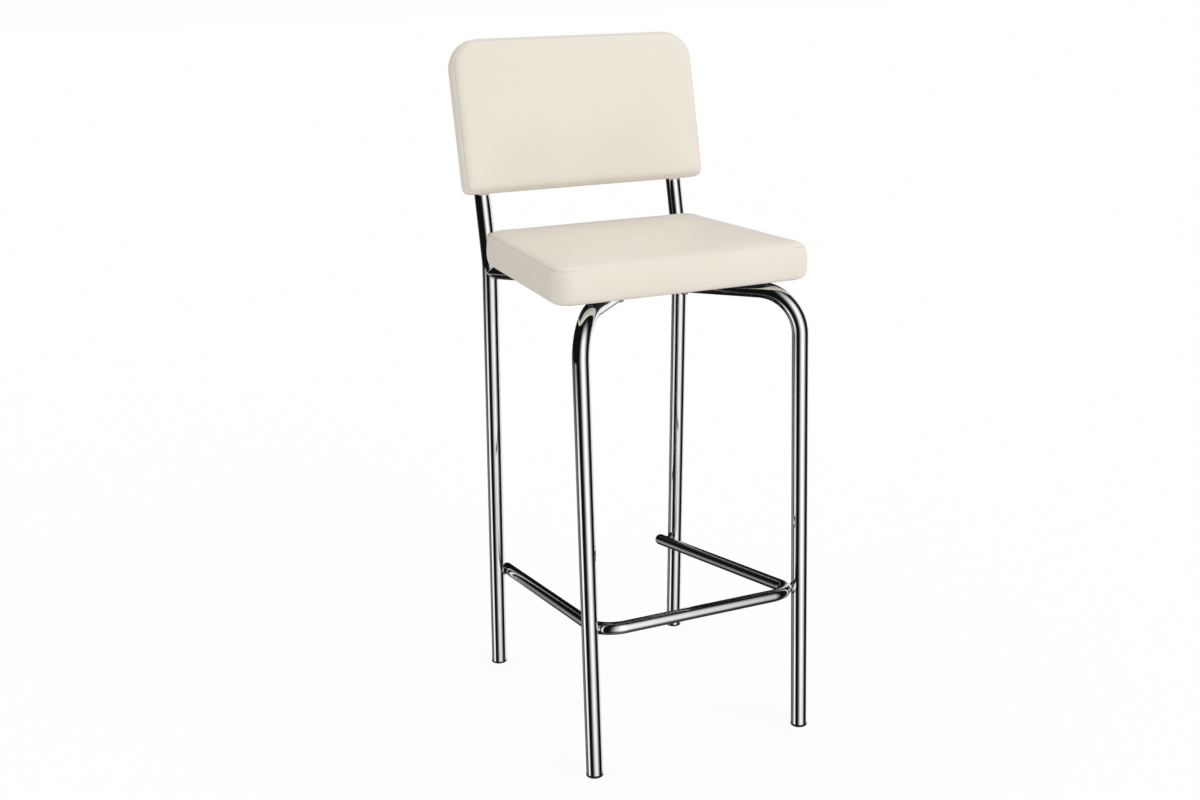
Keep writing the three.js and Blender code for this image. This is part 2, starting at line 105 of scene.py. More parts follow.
class Paint:  # a material's node tree, with short ways to add to it
    def __init__(self, name):
        self.material = bpy.data.materials.new(name)
        self.material.use_nodes = True
        self.tree = self.material.node_tree
        self.tree.nodes.clear()
        self.output = self.add("ShaderNodeOutputMaterial")

    def add(self, kind, inputs=None, **settings):
        node = self.tree.nodes.new(kind)
        for key, value in settings.items():
            setattr(node, key, value)
        for key, value in (inputs or {}).items():
            self.put(node.inputs[key], value)
        return node

    def put(self, socket, value):
        if isinstance(value, bpy.types.NodeSocket):
            self.tree.links.new(value, socket)
        else:
            socket.default_value = value

    def math(self, operation, first, second=0.0, third=None):
        node = self.add("ShaderNodeMath", {0: first, 1: second}, operation=operation)
        if third is not None:
            self.put(node.inputs[2], third)
        return node.outputs[0]

    def objectPlace(self, centre=(0, 0, 0), stretch=(1, 1, 1)):
        place = self.add("ShaderNodeTexCoord").outputs["Object"]
        away = tuple(-c * s for c, s in zip(centre, stretch))
        return self.add("ShaderNodeMapping", {"Vector": place, "Location": away, "Scale": stretch}).outputs[0]

    def noise(self, place, scale, detail=3.0, roughness=0.5):
        inputs = {"Vector": place, "Scale": scale, "Detail": detail, "Roughness": roughness}
        return self.add("ShaderNodeTexNoise", inputs).outputs[0]

    def cells(self, place, scale):
        return self.add("ShaderNodeTexVoronoi", {"Vector": place, "Scale": scale}).outputs["Distance"]

    def ramp(self, value, stops):
        node = self.add("ShaderNodeValToRGB", {"Fac": value})
        marks = node.color_ramp.elements
        while len(marks) < len(stops):
            marks.new(0.5)
        for mark, (position, colour) in zip(marks, stops):
            mark.position = position
            mark.color = (*colour, 1)
        return node.outputs[0]

    def between(self, value, low, high):
        return self.add("ShaderNodeMapRange", {"Value": value, "To Min": low, "To Max": high}).outputs[0]

    def blend(self, share, first, second):
        node = self.add("ShaderNodeMix", data_type="RGBA")
        self.put(node.inputs[0], share)
        self.put(node.inputs[6], first)
        self.put(node.inputs[7], second)
        return node.outputs[2]

    def bump(self, height, strength, distance, under=None):
        inputs = {"Height": height, "Strength": strength, "Distance": distance}
        if under is not None:
            inputs["Normal"] = under
        return self.add("ShaderNodeBump", inputs).outputs[0]

    def surface(self, inputs):
        shader = self.add("ShaderNodeBsdfPrincipled", inputs)
        self.tree.links.new(shader.outputs[0], self.output.inputs[0])
        return self.material


def fromScreen(red, green, blue):  # a colour as it reads on a screen, 0 to 255
    def linear(c):
        c /= 255
        return c / 12.92 if c <= 0.04045 else ((c + 0.055) / 1.055) ** 2.4
    return (linear(red), linear(green), linear(blue))


chromeFinish = {"bright": (0.93, 0.93, 0.935), "dull": (0.86, 0.865, 0.87), "polish": 0.035, "haze": 0.075}


def chromeMaterial():
    paint = Paint("polishedChrome")
    place = paint.objectPlace()
    smudge = paint.noise(place, 22.0, 4.0, 0.6)
    hairlines = paint.noise(paint.objectPlace(stretch=(1, 1, 0.06)), 900.0, 2.0)
    colour = paint.ramp(smudge, [(0.3, chromeFinish["dull"]), (0.6, chromeFinish["bright"])])
    roughness = paint.between(smudge, chromeFinish["polish"], chromeFinish["haze"])
    normal = paint.bump(hairlines, 0.03, 0.00002)
    return paint.surface({"Base Color": colour, "Metallic": 1.0, "Roughness": roughness, "Normal": normal})


leatheretteFinish = {
    "cream": fromScreen(234, 228, 216),
    "warm": fromScreen(230, 223, 210),
    # painted shade for the sewn groove, blended in along the seam
    "seam": fromScreen(188, 177, 158),
    "grainScale": 950.0,
    "grainDepth": 0.00009,
    "roughness": (0.46, 0.56),
    "specular": 0.38,
}


def leatheretteMaterial():
    look = leatheretteFinish
    paint = Paint("creamLeatherette")
    place = paint.objectPlace()
    cloud = paint.noise(place, 7.0, 3.0, 0.5)
    fleck = paint.noise(place, 420.0, 2.0, 0.6)
    mottled = paint.math("MULTIPLY_ADD", fleck, 0.3, paint.math("MULTIPLY", cloud, 0.7))
    plain = paint.ramp(mottled, [(0.35, look["warm"]), (0.62, look["cream"])])
    # The seam attribute is a mask of painted shade: the cover is blended darker along the sewn groove.
    seam = paint.add("ShaderNodeAttribute", attribute_name="seam").outputs["Fac"]
    colour = paint.blend(paint.math("MULTIPLY", seam, 0.2), plain, (*look["seam"], 1))
    cells = paint.cells(place, look["grainScale"])
    creases = paint.noise(place, 55.0, 4.0, 0.55)
    normal = paint.bump(creases, 0.12, 0.0006)
    normal = paint.bump(cells, 0.55, look["grainDepth"], normal)
    roughness = paint.between(fleck, *look["roughness"])
    return paint.surface({
        "Base Color": colour, "Roughness": roughness, "Normal": normal,
        "Specular IOR Level": look["specular"],
    })


def threadMaterial():
    paint = Paint("creamThread")
    ply = paint.noise(paint.objectPlace(), 2600.0, 2.0)
    colour = paint.ramp(ply, [(0.3, fromScreen(196, 184, 163)), (0.7, fromScreen(226, 217, 200))])
    normal = paint.bump(ply, 0.5, 0.0001)
    return paint.surface({"Base Color": colour, "Roughness": 0.7, "Normal": normal})


def blackPlasticMaterial():
    paint = Paint("blackPlastic")
    place = paint.objectPlace()
    scuff = paint.noise(place, 160.0, 4.0, 0.65)
    colour = paint.ramp(scuff, [(0.35, (0.008, 0.008, 0.009)), (0.75, (0.022, 0.022, 0.024))])
    normal = paint.bump(paint.noise(place, 1800.0, 2.0), 0.25, 0.00006)
    roughness = paint.between(scuff, 0.3, 0.5)
    return paint.surface({"Base Color": colour, "Roughness": roughness, "Normal": normal})


def liningMaterial():
    paint = Paint("blackLining")
    fibres = paint.noise(paint.objectPlace(stretch=(1, 0.25, 1)), 1400.0, 3.0, 0.7)
    crossed = paint.noise(paint.objectPlace(stretch=(0.25, 1, 1)), 1400.0, 3.0, 0.7)
    felt = paint.math("MAXIMUM", fibres, crossed)
    dots = paint.cells(paint.objectPlace(), 420.0)
    colour = paint.ramp(felt, [(0.45, (0.006, 0.006, 0.007)), (0.75, (0.03, 0.03, 0.032))])
    normal = paint.bump(dots, 0.35, 0.0002, paint.bump(felt, 0.6, 0.0002))
    return paint.surface({"Base Color": colour, "Roughness": 0.92, "Normal": normal})


def zincMaterial():
    paint = Paint("zincPlatedSteel")
    place = paint.objectPlace()
    bloom = paint.noise(place, 240.0, 4.0, 0.6)
    colour = paint.ramp(bloom, [(0.3, (0.5, 0.52, 0.55)), (0.7, (0.7, 0.71, 0.72))])
    normal = paint.bump(paint.noise(place, 1500.0, 2.0), 0.2, 0.00004)
    roughness = paint.between(bloom, 0.24, 0.42)
    return paint.surface({"Base Color": colour, "Metallic": 1.0, "Roughness": roughness, "Normal": normal})


def plyMaterial(name, layersAlong, layerThickness=0.0014):
    paint = Paint(name)
    grain = paint.noise(paint.objectPlace(stretch=(14, 1, 14)), 9.0, 5.0, 0.6)
    wood = paint.ramp(grain, [(0.3, (0.50, 0.33, 0.17)), (0.7, (0.72, 0.53, 0.32))])
    place = paint.objectPlace()
    depth = paint.add("ShaderNodeVectorMath", {0: place, 1: layersAlong}, operation="DOT_PRODUCT")
    layer = paint.math("SINE", paint.math("MULTIPLY", depth.outputs["Value"], math.pi / layerThickness))
    colour = paint.blend(paint.between(layer, 0.0, 0.35), wood, (0.24, 0.14, 0.07, 1))
    normal = paint.bump(grain, 0.3, 0.0003)
    return paint.surface({"Base Color": colour, "Roughness": 0.72, "Normal": normal})


def foamMaterial():
    paint = Paint("paddingFoam")
    place = paint.objectPlace()
    pores = paint.cells(place, 620.0)
    # The pores are painted darker: painted shade in the foam's hollows.
    colour = paint.ramp(pores, [(0.05, (0.42, 0.36, 0.2)), (0.45, (0.83, 0.77, 0.55))])
    normal = paint.bump(pores, 0.8, 0.0006)
    return paint.surface({"Base Color": colour, "Roughness": 0.95, "Normal": normal})


chrome = chromeMaterial()
leatherette = leatheretteMaterial()
thread = threadMaterial()
blackPlastic = blackPlasticMaterial()
lining = liningMaterial()
zinc = zincMaterial()
foam = foamMaterial()
print("materials made")


# Node trees for what is swept or repeated.
def newTree(name, inputs):
    tree = bpy.data.node_groups.new(name, "GeometryNodeTree")
    tree.interface.new_socket("Geometry", in_out="INPUT", socket_type="NodeSocketGeometry")
    tree.interface.new_socket("Geometry", in_out="OUTPUT", socket_type="NodeSocketGeometry")
    for label, kind, start in inputs:
        socket = tree.interface.new_socket(label, in_out="INPUT", socket_type=f"NodeSocket{kind}")
        if start is not None:
            socket.default_value = start
    entry = tree.nodes.new("NodeGroupInput")
    return tree, entry


def chain(tree, *steps):  # joins each step's geometry output to the next one's first input
    for (before, output), (after, entry) in zip(steps, steps[1:]):
        tree.links.new(before.outputs[output], after.inputs[entry])


def grow(piece, tree, values):  # runs a tree on a piece and keeps the result as its mesh
    modifier = piece.modifiers.new(tree.name, "NODES")
    modifier.node_group = tree
    for item in tree.interface.items_tree:
        if item.in_out == "INPUT" and item.name in values:
            modifier[item.identifier] = values[item.name]
    piece.data.update_tag()
    return settle(piece)


def finishTree(tree, entry, shape):  # makes copies real, gives them their finish and ends the tree
    real = tree.nodes.new("GeometryNodeRealizeInstances")
    paintOn = tree.nodes.new("GeometryNodeSetMaterial")
    out = tree.nodes.new("NodeGroupOutput")
    tree.links.new(entry.outputs["Finish"], paintOn.inputs["Material"])
    tree.links.new(shape, real.inputs["Geometry"])
    chain(tree, (real, "Geometry"), (paintOn, "Geometry"), (out, "Geometry"))
    return tree


def copiesOfPart(tree, entry, points, rotation):
    part = tree.nodes.new("GeometryNodeObjectInfo")
    copies = tree.nodes.new("GeometryNodeInstanceOnPoints")
    tree.links.new(entry.outputs["Part"], part.inputs["Object"])
    tree.links.new(part.outputs["Geometry"], copies.inputs["Instance"])
    tree.links.new(points, copies.inputs["Points"])
    tree.links.new(rotation, copies.inputs["Rotation"])
    return copies.outputs["Instances"]


def sweepTree():
    tree, entry = newTree("sweptTube", [
        ("Tube radius", "Float", 0.0125), ("Bend radius", "Float", 0.065), ("Bend steps", "Int", 20),
        ("Sides", "Int", 48), ("Ripple", "Float", 0.0), ("Finish", "Material", None),
    ])
    nodes, links = tree.nodes, tree.links
    path = nodes.new("GeometryNodeMeshToCurve")
    bend = nodes.new("GeometryNodeFilletCurve")
    bend.mode = "POLY"
    bend.inputs["Limit Radius"].default_value = True
    ring = nodes.new("GeometryNodeCurvePrimitiveCircle")
    swell = nodes.new("GeometryNodeSetCurveRadius")
    count = nodes.new("GeometryNodeInputIndex")
    wave = nodes.new("ShaderNodeMath")
    wave.operation = "SINE"
    size = nodes.new("ShaderNodeMath")
    size.operation = "MULTIPLY_ADD"
    size.inputs[2].default_value = 1.0
    sweep = nodes.new("GeometryNodeCurveToMesh")
    sweep.inputs["Fill Caps"].default_value = True
    links.new(entry.outputs["Bend radius"], bend.inputs["Radius"])
    links.new(entry.outputs["Bend steps"], bend.inputs["Count"])
    links.new(entry.outputs["Sides"], ring.inputs["Resolution"])
    links.new(entry.outputs["Tube radius"], ring.inputs["Radius"])
    links.new(count.outputs[0], wave.inputs[0])
    links.new(wave.outputs[0], size.inputs[0])
    links.new(entry.outputs["Ripple"], size.inputs[1])
    links.new(size.outputs[0], swell.inputs["Radius"])
    links.new(ring.outputs["Curve"], sweep.inputs["Profile Curve"])
    chain(tree, (entry, "Geometry"), (path, "Mesh"))
    chain(tree, (path, "Curve"), (bend, "Curve"), (swell, "Curve"), (sweep, "Curve"))
    return finishTree(tree, entry, sweep.outputs["Mesh"])


def repeatTree():  # one part again and again along a path
    tree, entry = newTree("repeatAlongPath", [
        ("Part", "Object", None), ("Spacing", "Float", 0.004), ("Finish", "Material", None),
    ])
    nodes, links = tree.nodes, tree.links
    path = nodes.new("GeometryNodeMeshToCurve")
    marks = nodes.new("GeometryNodeCurveToPoints")
    marks.mode = "LENGTH"
    links.new(entry.outputs["Spacing"], marks.inputs["Length"])
    chain(tree, (entry, "Geometry"), (path, "Mesh"))
    chain(tree, (path, "Curve"), (marks, "Curve"))
    copies = copiesOfPart(tree, entry, marks.outputs["Points"], marks.outputs["Rotation"])
    return finishTree(tree, entry, copies)


def placeTree():  # one part at each point, its +Z along the point's own aim
    tree, entry = newTree("partAtPlaces", [("Part", "Object", None), ("Finish", "Material", None)])
    nodes, links = tree.nodes, tree.links
    points = nodes.new("GeometryNodeMeshToPoints")
    aim = nodes.new("GeometryNodeInputNamedAttribute")
    aim.data_type = "FLOAT_VECTOR"
    aim.inputs["Name"].default_value = "aim"
    turn = nodes.new("FunctionNodeAlignRotationToVector")
    turn.axis = "Z"
    links.new(aim.outputs["Attribute"], turn.inputs["Vector"])
    chain(tree, (entry, "Geometry"), (points, "Mesh"))
    copies = copiesOfPart(tree, entry, points.outputs["Points"], turn.outputs["Rotation"])
    return finishTree(tree, entry, copies)


sweptTube = sweepTree()
repeatAlongPath = repeatTree()
partAtPlaces = placeTree()
print("node trees made")


# The stool stands on its glides, so their places give the legs' places.
stance = {
    "frontLean": math.radians(1.75),
    "rearLean": math.radians(2.37),
    "crossHeight": 0.7015,
    "backBendHeight": 0.713,
    "backTilt": math.radians(12.7),
    "backTubeRun": 0.313,
    "glideRadius": 0.013,
}
frontGlideLow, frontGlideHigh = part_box("front_right_glide")
rearGlideLow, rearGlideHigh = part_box("rear_right_glide")
frontFoot = Vector((frontGlideHigh.x - stance["glideRadius"], frontGlideLow.y + stance["glideRadius"], 0))
rearFoot = Vector((rearGlideHigh.x - stance["glideRadius"], rearGlideHigh.y - stance["glideRadius"], 0))


def frontLegAt(side, height):
    return Vector((side * frontFoot.x, frontFoot.y + height * math.tan(stance["frontLean"]), height))


def rearLegAt(side, height):
    return Vector((side * rearFoot.x, rearFoot.y - height * math.tan(stance["rearLean"]), height))


backUp = Vector((0, math.sin(stance["backTilt"]), math.cos(stance["backTilt"])))
backFront = Vector((0, -math.cos(stance["backTilt"]), math.sin(stance["backTilt"])))


def onBackTube(side, run):
    return rearLegAt(side, stance["backBendHeight"]) + backUp * run


frontCorner = {side: frontLegAt(side, stance["crossHeight"]) for side in (-1, 1)}
rearCorner = {side: rearLegAt(side, stance["crossHeight"]) for side in (-1, 1)}
crossing = frontCorner[1].lerp(rearCorner[-1], frontFoot.x / (frontFoot.x + rearFoot.x))

legTube = {
    "radius": 0.0125, "wall": 0.0015, "frontBend": 0.065, "backBend": 0.06,
    "bendSteps": 22, "sides": 56, "footHeight": 0.0038,
}


def sweptPiece(name, corners, radius, bendRadius, steps, sides, closed=False, ripple=0.0):
    count = len(corners)
    edges = [(i, (i + 1) % count) for i in range(count if closed else count - 1)]
    piece = meshObject(name, corners, edges)
    grow(piece, sweptTube, {
        "Tube radius": radius, "Bend radius": bendRadius, "Bend steps": steps,
        "Sides": sides, "Ripple": ripple, "Finish": chrome,
    })
    faceOutwards(piece)
    shadeRound(piece, 50)
    return piece


def legPiece(name, corners, bendRadius, nodes):
    piece = sweptPiece(name, corners, legTube["radius"], bendRadius, legTube["bendSteps"], legTube["sides"])
    return fitPiece(piece, chrome, nodes)


foot = legTube["footHeight"]
legPiece("frontRightTube", [frontLegAt(1, foot), frontCorner[1], rearCorner[-1]],
         legTube["frontBend"], ["front_right_leg_tube"])
legPiece("frontLeftTube", [frontLegAt(-1, foot), frontCorner[-1], crossing],
         legTube["frontBend"], ["front_left_leg_tube"])
legPiece("rearRightArm", [crossing, rearCorner[1]], legTube["frontBend"], ["rear_right_seat_arm"])
for side, word in ((-1, "left"), (1, "right")):
    bend, top = rearLegAt(side, stance["backBendHeight"]), onBackTube(side, stance["backTubeRun"])
    corners = [rearLegAt(side, foot), bend, top]
    legPiece(f"rear{word.capitalize()}Tube", corners, legTube["backBend"], [f"rear_{word}_leg_tube"])

footrest = {
    "radius": 0.0095, "bend": 0.04, "height": 0.233, "slope": math.radians(8.4),
    "contact": math.radians(29.5), "overshoot": 0.013, "clearance": 0.0003, "bendSteps": 22, "sides": 48,
}


def footrestCorners():  # the right-hand corner and rear end, and the way the side runs
    leg = frontLegAt(1, footrest["height"])
    touch = legTube["radius"] + footrest["radius"] + footrest["clearance"]
    centreX = leg.x - (footrest["bend"] + touch) * math.cos(footrest["contact"])
    centreY = leg.y + (footrest["bend"] + touch) * math.sin(footrest["contact"])
    barY = centreY - footrest["bend"]
    fall = math.tan(footrest["slope"])
    rearY = rearLegAt(1, footrest["height"]).y
    span = (rearY - barY) / (1 - fall * math.tan(stance["rearLean"]))
    rearX = rearFoot.x - touch
    taper = math.atan((centreX + footrest["bend"] - rearX) / span)
    cornerX = centreX + footrest["bend"] * math.tan(math.pi / 4 + taper / 2)
    corner = Vector((cornerX, barY, footrest["height"]))
    atRear = Vector((rearX, barY + span, footrest["height"] - span * fall))
    along = (atRear - corner).normalized()
    bendMiddle = Vector((centreX, centreY, footrest["height"]))
    return corner, atRear + along * footrest["overshoot"], along, atRear, bendMiddle


def toLeft(point):
    return Vector((-point.x, point.y, point.z))


restCorner, restEnd, restAlong, restAtRear, restBendMiddle = footrestCorners()
footrestPiece = sweptPiece(
    "footrestTube", [restEnd, restCorner, toLeft(restCorner), toLeft(restEnd)],
    footrest["radius"], footrest["bend"], footrest["bendSteps"], footrest["sides"],
)
fitPiece(footrestPiece, chrome, ["footrest_tube"])

weld = {
    "bead": 0.0013, "sides": 10, "turns": 72, "ripple": 0.08,
    "nubLength": 0.011, "nubBead": 0.0019, "nubSides": 14, "nubSteps": 14, "nubRise": 0.62,
}


def saddleWeld(name, branchPoint, branchAlong, mainPoint, mainAlong):  # a bead round a coped tube's end
    radius = legTube["radius"]
    first = branchAlong.orthogonal().normalized()
    second = branchAlong.cross(first)
    acrossBranch = branchAlong - mainAlong * branchAlong.dot(mainAlong)
    points = []
    for i in range(weld["turns"]):
        turn = 2 * math.pi * i / weld["turns"]
        rim = branchPoint + (first * math.cos(turn) + second * math.sin(turn)) * radius * 0.998
        away = rim - mainPoint
        away -= mainAlong * away.dot(mainAlong)
        a, b, c = acrossBranch.dot(acrossBranch), 2 * away.dot(acrossBranch), away.dot(away) - radius ** 2
        reach = (-b + math.sqrt(max(b * b - 4 * a * c, 0))) / (2 * a)
        points.append(rim + branchAlong * reach)
    bead = sweptPiece(name, points, weld["bead"], 0.0, 1, weld["sides"], closed=True, ripple=weld["ripple"])
    return fitPiece(bead, chrome)


def nubWeld(name, middle, along):  # a short bead in the valley between two tubes that touch
    steps = weld["nubSteps"]
    points = [middle + along * weld["nubLength"] * (i / steps - 0.5) for i in range(steps + 1)]
    bead = sweptPiece(name, points, weld["nubBead"], 0.0, 1, weld["nubSides"], ripple=weld["ripple"])
    bead.data.calc_loop_triangles()
    for vertex in bead.data.vertices:  # its ends taper off
        reach = (vertex.co - middle).dot(along)
        share = abs(reach) / (weld["nubLength"] / 2)
        onAxis = middle + along * reach
        vertex.co = onAxis + (vertex.co - onAxis) * math.sqrt(max(1 - share ** 2, 0.02))
    return fitPiece(bead, chrome)


mainAlong = (rearCorner[-1] - frontCorner[1]).normalized()
saddleWeld("crossWeldFront", crossing, (frontCorner[-1] - crossing).normalized(), crossing, mainAlong)
saddleWeld("crossWeldRear", crossing, (rearCorner[1] - crossing).normalized(), crossing, mainAlong)
for side, word in ((-1, "Left"), (1, "Right")):
    legAlong = (rearLegAt(side, 1) - rearLegAt(side, 0)).normalized()
    inward = (crossing - rearCorner[side]).normalized()
    saddleWeld(f"rear{word}Weld", rearCorner[side], inward, rearCorner[side], legAlong)
    frontLeg = frontLegAt(side, footrest["height"])
    frontLegAlong = (frontLegAt(side, 1) - frontLegAt(side, 0)).normalized()
    bendMiddle = restBendMiddle if side > 0 else toLeft(restBendMiddle)
    towardsRest = (bendMiddle - frontLeg).normalized()
    touchPoint = frontLeg + towardsRest * legTube["radius"]
    restPath = towardsRest.cross(frontLegAlong).normalized()
    lift = Vector((0, 0, footrest["radius"] * weld["nubRise"]))
    nubWeld(f"footrest{word}CornerWeldTop", touchPoint + lift, restPath)
    nubWeld(f"footrest{word}CornerWeldBelow", touchPoint - lift, restPath)
    rearTouch = restAtRear if side > 0 else toLeft(restAtRear)
    rearLeg = rearLegAt(side, rearTouch.z)
    towardsSide = (rearTouch - rearLeg).normalized()
    rearPoint = rearLeg + towardsSide * legTube["radius"]
    sideAlong = restAlong if side > 0 else toLeft(restAlong)
    nubWeld(f"footrest{word}SideWeldTop", rearPoint + lift, sideAlong)
    nubWeld(f"footrest{word}SideWeldBelow", rearPoint - lift, sideAlong)
print("tubes and welds made")


def turnedPiece(name, profile, sides, place):  # profile is radius and height pairs from pole to pole
    points, faces = [], []
    rings = profile[1:-1]
    for radius, height in rings:
        for i in range(sides):
            turn = 2 * math.pi * i / sides
            points.append(Vector((radius * math.cos(turn), radius * math.sin(turn), height)))
    for ring in range(len(rings) - 1):
        for i in range(sides):
            j = (i + 1) % sides
            faces.append((ring * sides + i, ring * sides + j, (ring + 1) * sides + j, (ring + 1) * sides + i))
    start, end = len(points), len(points) + 1
    points += [Vector((0, 0, profile[0][1])), Vector((0, 0, profile[-1][1]))]
    last = (len(rings) - 1) * sides
    for i in range(sides):
        j = (i + 1) % sides
        faces.append((start, j, i))
        faces.append((end, last + i, last + j))
    piece = meshObject(name, [place @ p for p in points], (), faces)
    faceOutwards(piece)
    shadeRound(piece, 35)
    return piece


def standingAlong(point, along):
    return Matrix.Translation(point) @ along.to_track_quat("Z", "Y").to_matrix().to_4x4()


glide = {
    "radius": 0.013, "thickness": 0.0035, "edge": 0.0009,
    "stemRadius": 0.0107, "stemTop": 0.0155, "sides": 48,
}


def glideProfile():
    radius, edge, top = glide["radius"], glide["edge"], glide["thickness"]
    profile = [(0, 0), (radius * 0.5, 0)]
    for i in range(5):
        turn = math.pi / 2 * i / 4
        profile.append((radius - edge + edge * math.sin(turn), edge - edge * math.cos(turn)))
    small = edge / 2
    for i in range(4):
        turn = math.pi / 2 * i / 3
        profile.append((radius - small + small * math.cos(turn), top - small + small * math.sin(turn)))
    stem = glide["stemRadius"]
    return profile + [(stem, top), (stem, glide["stemTop"]), (0, glide["stemTop"])]


for row, legAt in (("front", frontLegAt), ("rear", rearLegAt)):
    for side, word in ((-1, "left"), (1, "right")):
        name = f"{row}{word.capitalize()}Glide"
        piece = turnedPiece(name, glideProfile(), glide["sides"], Matrix.Translation(legAt(side, 0)))
        fitPiece(piece, blackPlastic, [f"{row}_{word}_glide"])

plug = {"gap": 0.0003, "stemLength": 0.016, "sides": 48, "backDome": 0.003, "restDome": 0.006}


def plugProfile(radius, dome):
    bore = radius - legTube["wall"] - plug["gap"]
    profile = [(0, -plug["stemLength"]), (bore, -plug["stemLength"]), (bore, plug["gap"] / 2)]
    profile.append((radius, plug["gap"] / 2))
    for i in range(1, 10):
        turn = math.pi / 2 * i / 10
        profile.append((radius * math.cos(turn), plug["gap"] + dome * math.sin(turn)))
    return profile + [(0, plug["gap"] + dome)]


for side, word in ((-1, "left"), (1, "right")):
    place = standingAlong(onBackTube(side, stance["backTubeRun"]), backUp)
    piece = turnedPiece(f"back{word.capitalize()}TubePlug", plugProfile(legTube["radius"], plug["backDome"]),
                        plug["sides"], place)
    fitPiece(piece, blackPlastic, [f"back_tube_plug_{word}"])
    end = restEnd if side > 0 else toLeft(restEnd)
    along = restAlong if side > 0 else toLeft(restAlong)
    piece = turnedPiece(f"footrest{word.capitalize()}Plug", plugProfile(footrest["radius"], plug["restDome"]),
                        plug["sides"], standingAlong(end, along))
    fitPiece(piece, blackPlastic, [f"footrest_end_plug_{word}"])
print("glides and plugs made")


# A pad's outline, moved in by the inset, with each corner an arc.
def roundedOutline(corners, radii, inset=0.0, steps=10):
    count = len(corners)
    lines = []
    for i, corner in enumerate(corners):
        along = (corners[(i + 1) % count] - corner).normalized()
        lines.append((corner + Vector((-along.y, along.x)) * inset, along))
    moved = []
    for i in range(count):
        (p, d), (q, e) = lines[i - 1], lines[i]
        reach = ((q.x - p.x) * e.y - (q.y - p.y) * e.x) / (d.x * e.y - d.y * e.x)
        moved.append(p + d * reach)
    points = []
    for i in range(count):
        incoming = (moved[i] - moved[i - 1]).normalized()
        outgoing = (moved[(i + 1) % count] - moved[i]).normalized()
        angle = incoming.angle(outgoing)
        radius = max(radii[i] - inset, 0.0012)
        inward = Vector((-incoming.y, incoming.x))
        centre = moved[i] - incoming * radius * math.tan(angle / 2) + inward * radius
        for step in range(steps + 1):
            turn = angle * step / steps
            points.append(centre - inward * radius * math.cos(turn) + incoming * radius * math.sin(turn))
    return points


def rolledEdge(radius, depth, end, steps=6):  # a quarter of an ellipse, from the side up onto the face
    turns = [math.pi / 2 * i / steps for i in range(steps + 1)]
    return [(radius * (1 - math.cos(turn)), end - depth * (1 - math.sin(turn))) for turn in turns]


def ringedBlock(name, rings):  # a closed block from outlines of equal length at rising heights
    points, faces = [], []
    count = len(rings[0][0])
    for outline, height in rings:
        points += [Vector((p.x, p.y, height)) for p in outline]
    for ring in range(len(rings) - 1):
        for i in range(count):
            j = (i + 1) % count
            faces.append((ring * count + i, ring * count + j, (ring + 1) * count + j, (ring + 1) * count + i))
    faces.append(tuple(reversed(range(count))))
    faces.append(tuple(range((len(rings) - 1) * count, len(rings) * count)))
    return meshObject(name, points, (), faces)


clothFeel = {"quality": 6, "mass": 0.35, "stretch": 22, "shear": 12, "frames": 20}


def swellAsCloth(piece, pad):  # blows the cover up a little from inside, as its foam does
    cloth = piece.modifiers.new("cover", "CLOTH")
    settings = cloth.settings
    settings.quality = clothFeel["quality"]
    settings.mass = clothFeel["mass"]
    settings.tension_stiffness = clothFeel["stretch"]
    settings.compression_stiffness = clothFeel["stretch"]
    settings.shear_stiffness = clothFeel["shear"]
    settings.bending_stiffness = pad["bendStiffness"]
    settings.use_pressure = True
    settings.uniform_pressure_force = pad["pressure"]
    settings.effector_weights.gravity = 0
    cloth.collision_settings.use_collision = False
    cloth.collision_settings.use_self_collision = False
    held = piece.vertex_groups.new(name="held")
    for vertex in piece.data.vertices:
        height = vertex.co.z
        weight = 1 - smoothStep(pad["heldBelow"], pad["freeAbove"], height)
        held.add([vertex.index], weight, "REPLACE")
    settings.vertex_group_mass = "held"
    cloth.point_cache.frame_start = 1
    cloth.point_cache.frame_end = clothFeel["frames"]
    for step in range(1, clothFeel["frames"] + 1):
        scene.frame_set(step)
    start = [vertex.co.copy() for vertex in piece.data.vertices]
    normals = [vertex.normal.copy() for vertex in piece.data.vertices]
    settle(piece)
    scene.frame_set(1)
    moves = [vertex.co - begun for vertex, begun in zip(piece.data.vertices, start)]
    highest = max(move.z for move in moves)
    share = min(pad["crown"] / max(highest, 1e-6), 1.0)
    print(f"  {piece.name} swelled {highest * 1000:.1f} mm, kept {share:.2f} of it")
    for vertex, begun, move, normal in zip(piece.data.vertices, start, moves, normals):
        move = move * share
        inwards = move.dot(normal)
        if inwards < -pad["pullIn"]:
            move -= normal * (inwards + pad["pullIn"])
        vertex.co = begun + move


def seamPath(piece, pad, inset, height):  # the sewn line, laid on the cover's real surface
    mesh = piece.data
    surface = BVHTree.FromPolygons([v.co for v in mesh.vertices], [p.vertices for p in mesh.polygons])
    outline = roundedOutline(pad["corners"], pad["radii"], inset, 16)
    path = []
    for i, point in enumerate(outline):
        following = outline[(i + 1) % len(outline)]
        parts = max(int((following - point).length / 0.0015), 1)
        for step in range(parts):
            flat = point.lerp(following, step / parts)
            place, normal, _, _ = surface.find_nearest(Vector((flat.x, flat.y, height)))
            path.append((place, normal))
    return path


# Stuffed full in the middle of its front, the seat hardly shows its seam there: the groove is shallower and
# its painted shade fainter.
plumpFront = {"start": 0.188, "end": 0.197, "cornerStart": 0.150, "cornerEnd": 0.190}


def plumpness(place, pad):
    front = smoothStep(plumpFront["start"], plumpFront["end"], -place.y)
    corner = smoothStep(plumpFront["cornerStart"], plumpFront["cornerEnd"], abs(place.x))
    return pad["plumpFront"] * front * (1 - corner)


